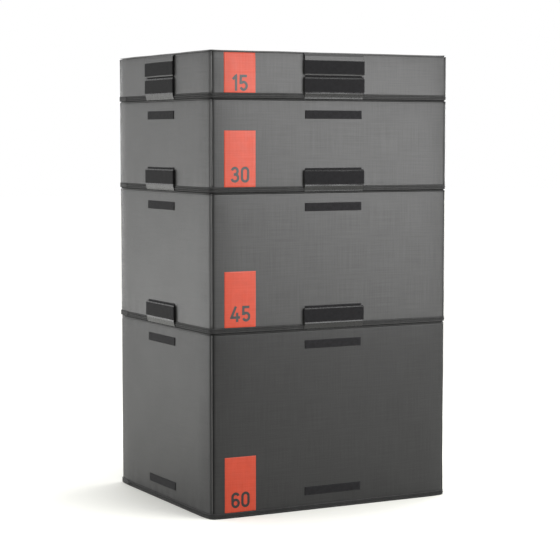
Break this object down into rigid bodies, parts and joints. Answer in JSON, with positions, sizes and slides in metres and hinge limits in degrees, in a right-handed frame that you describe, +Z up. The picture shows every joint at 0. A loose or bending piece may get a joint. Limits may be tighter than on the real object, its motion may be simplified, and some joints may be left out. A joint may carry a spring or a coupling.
{
  "type": "plyo box",
  "caption": "Stack of soft foam plyo boxes in zipped coated-fabric covers, graded in height, tied to each other by hinged flaps with hook-and-loop pads; for jumps and step-ups.",
  "frame": {"origin": "middle of the foot of the lowest box, on the floor", "axes": "+Z up the stack, -Y out of the front, +X to the right of the front"},
  "size_m": [0.9168, 0.7668, 1.5],
  "materials": {
    "foam": "matte",
    "cover_vinyl": "satin",
    "base_sheet": "matte",
    "binding": "satin",
    "zip_tape": "matte",
    "slider_metal": "satin",
    "flap_vinyl": "satin",
    "hook_and_loop": "matte"
  },
  "bodies": {
    "box_60": {"box_60_foam_core": "foam", "box_60_cover_panels": "cover_vinyl", "box_60_base_panel": "base_sheet", "box_60_zip": "zip_tape", "box_60_edge_binding": "binding", "box_60_loop_strips": "hook_and_loop"},
    "box_60_zip_slider": {"box_60_zip_slider": "slider_metal"},
    "box_45": {"box_45_foam_core": "foam", "box_45_cover_panels": "cover_vinyl", "box_45_base_panel": "base_sheet", "box_45_zip": "zip_tape", "box_45_edge_binding": "binding", "box_45_loop_strips": "hook_and_loop"},
    "box_45_zip_slider": {"box_45_zip_slider": "slider_metal"},
    "box_45_bottom_flap_front": {"box_45_bottom_flap_front_tongue": "flap_vinyl", "box_45_bottom_flap_front_pads": "hook_and_loop"},
    "box_45_bottom_flap_right": {"box_45_bottom_flap_right_tongue": "flap_vinyl", "box_45_bottom_flap_right_pads": "hook_and_loop"},
    "box_45_bottom_flap_back": {"box_45_bottom_flap_back_tongue": "flap_vinyl", "box_45_bottom_flap_back_pads": "hook_and_loop"},
    "box_45_bottom_flap_left": {"box_45_bottom_flap_left_tongue": "flap_vinyl", "box_45_bottom_flap_left_pads": "hook_and_loop"},
    "box_30": {"box_30_foam_core": "foam", "box_30_cover_panels": "cover_vinyl", "box_30_base_panel": "base_sheet", "box_30_zip": "zip_tape", "box_30_edge_binding": "binding", "box_30_loop_strips": "hook_and_loop"},
    "box_30_zip_slider": {"box_30_zip_slider": "slider_metal"},
    "box_30_bottom_flap_front": {"box_30_bottom_flap_front_tongue": "flap_vinyl", "box_30_bottom_flap_front_pads": "hook_and_loop"},
    "box_30_bottom_flap_right": {"box_30_bottom_flap_right_tongue": "flap_vinyl", "box_30_bottom_flap_right_pads": "hook_and_loop"},
    "box_30_bottom_flap_back": {"box_30_bottom_flap_back_tongue": "flap_vinyl", "box_30_bottom_flap_back_pads": "hook_and_loop"},
    "box_30_bottom_flap_left": {"box_30_bottom_flap_left_tongue": "flap_vinyl", "box_30_bottom_flap_left_pads": "hook_and_loop"},
    "box_15": {"box_15_foam_core": "foam", "box_15_cover_panels": "cover_vinyl", "box_15_base_panel": "base_sheet", "box_15_zip": "zip_tape", "box_15_edge_binding": "binding", "box_15_loop_strips": "hook_and_loop"},
    "box_15_zip_slider": {"box_15_zip_slider": "slider_metal"},
    "box_15_bottom_flap_front": {"box_15_bottom_flap_front_tongue": "flap_vinyl", "box_15_bottom_flap_front_pads": "hook_and_loop"},
    "box_15_bottom_flap_right": {"box_15_bottom_flap_right_tongue": "flap_vinyl", "box_15_bottom_flap_right_pads": "hook_and_loop"},
    "box_15_bottom_flap_back": {"box_15_bottom_flap_back_tongue": "flap_vinyl", "box_15_bottom_flap_back_pads": "hook_and_loop"},
    "box_15_bottom_flap_left": {"box_15_bottom_flap_left_tongue": "flap_vinyl", "box_15_bottom_flap_left_pads": "hook_and_loop"},
    "box_15_top_flap_front": {"box_15_top_flap_front_tongue": "flap_vinyl", "box_15_top_flap_front_pads": "hook_and_loop"},
    "box_15_top_flap_right": {"box_15_top_flap_right_tongue": "flap_vinyl", "box_15_top_flap_right_pads": "hook_and_loop"},
    "box_15_top_flap_back": {"box_15_top_flap_back_tongue": "flap_vinyl", "box_15_top_flap_back_pads": "hook_and_loop"},
    "box_15_top_flap_left": {"box_15_top_flap_left_tongue": "flap_vinyl", "box_15_top_flap_left_pads": "hook_and_loop"}
  },
  "joints": [
    {"name": "box_60_zip_run", "type": "slide", "parent": "box_60", "child": "box_60_zip_slider", "axis": [0, -1, 0], "range_m": [0, 0.52]},
    {"name": "box_45_lift", "type": "slide", "parent": "box_60", "child": "box_45", "axis": [0, 0, 1], "range_m": [0, 0.15]},
    {"name": "box_45_zip_run", "type": "slide", "parent": "box_45", "child": "box_45_zip_slider", "axis": [0, -1, 0], "range_m": [0, 0.52]},
    {"name": "box_45_bottom_flap_front_fold", "type": "hinge", "parent": "box_45", "child": "box_45_bottom_flap_front", "pos_m": [0, -0.3805, 0.60075], "axis": [1, 0, 0], "range_deg": [0, 180]},
    {"name": "box_45_bottom_flap_right_fold", "type": "hinge", "parent": "box_45", "child": "box_45_bottom_flap_right", "pos_m": [0.4555, 0, 0.60075], "axis": [0, 1, 0], "range_deg": [0, 180]},
    {"name": "box_45_bottom_flap_back_fold", "type": "hinge", "parent": "box_45", "child": "box_45_bottom_flap_back", "pos_m": [0, 0.3805, 0.60075], "axis": [-1, 0, 0], "range_deg": [0, 180]},
    {"name": "box_45_bottom_flap_left_fold", "type": "hinge", "parent": "box_45", "child": "box_45_bottom_flap_left", "pos_m": [-0.4555, 0, 0.60075], "axis": [0, -1, 0], "range_deg": [0, 180]},
    {"name": "box_30_lift", "type": "slide", "parent": "box_45", "child": "box_30", "axis": [0, 0, 1], "range_m": [0, 0.15]},
    {"name": "box_30_zip_run", "type": "slide", "parent": "box_30", "child": "box_30_zip_slider", "axis": [0, -1, 0], "range_m": [0, 0.52]},
    {"name": "box_30_bottom_flap_front_fold", "type": "hinge", "parent": "box_30", "child": "box_30_bottom_flap_front", "pos_m": [0, -0.3805, 1.05075], "axis": [1, 0, 0], "range_deg": [0, 180]},
    {"name": "box_30_bottom_flap_right_fold", "type": "hinge", "parent": "box_30", "child": "box_30_bottom_flap_right", "pos_m": [0.4555, 0, 1.05075], "axis": [0, 1, 0], "range_deg": [0, 180]},
    {"name": "box_30_bottom_flap_back_fold", "type": "hinge", "parent": "box_30", "child": "box_30_bottom_flap_back", "pos_m": [0, 0.3805, 1.05075], "axis": [-1, 0, 0], "range_deg": [0, 180]},
    {"name": "box_30_bottom_flap_left_fold", "type": "hinge", "parent": "box_30", "child": "box_30_bottom_flap_left", "pos_m": [-0.4555, 0, 1.05075], "axis": [0, -1, 0], "range_deg": [0, 180]},
    {"name": "box_15_lift", "type": "slide", "parent": "box_30", "child": "box_15", "axis": [0, 0, 1], "range_m": [0, 0.15]},
    {"name": "box_15_zip_run", "type": "slide", "parent": "box_15", "child": "box_15_zip_slider", "axis": [0, -1, 0], "range_m": [0, 0.52]},
    {"name": "box_15_bottom_flap_front_fold", "type": "hinge", "parent": "box_15", "child": "box_15_bottom_flap_front", "pos_m": [0, -0.3805, 1.35075], "axis": [1, 0, 0], "range_deg": [0, 180]},
    {"name": "box_15_bottom_flap_right_fold", "type": "hinge", "parent": "box_15", "child": "box_15_bottom_flap_right", "pos_m": [0.4555, 0, 1.35075], "axis": [0, 1, 0], "range_deg": [0, 180]},
    {"name": "box_15_bottom_flap_back_fold", "type": "hinge", "parent": "box_15", "child": "box_15_bottom_flap_back", "pos_m": [0, 0.3805, 1.35075], "axis": [-1, 0, 0], "range_deg": [0, 180]},
    {"name": "box_15_bottom_flap_left_fold", "type": "hinge", "parent": "box_15", "child": "box_15_bottom_flap_left", "pos_m": [-0.4555, 0, 1.35075], "axis": [0, -1, 0], "range_deg": [0, 180]},
    {"name": "box_15_top_flap_front_fold", "type": "hinge", "parent": "box_15", "child": "box_15_top_flap_front", "pos_m": [0, -0.3805, 1.497], "axis": [-1, 0, 0], "range_deg": [0, 180]},
    {"name": "box_15_top_flap_right_fold", "type": "hinge", "parent": "box_15", "child": "box_15_top_flap_right", "pos_m": [0.4555, 0, 1.497], "axis": [0, -1, 0], "range_deg": [0, 180]},
    {"name": "box_15_top_flap_back_fold", "type": "hinge", "parent": "box_15", "child": "box_15_top_flap_back", "pos_m": [0, 0.3805, 1.497], "axis": [1, 0, 0], "range_deg": [0, 180]},
    {"name": "box_15_top_flap_left_fold", "type": "hinge", "parent": "box_15", "child": "box_15_top_flap_left", "pos_m": [-0.4555, 0, 1.497], "axis": [0, 1, 0], "range_deg": [0, 180]}
  ]
}
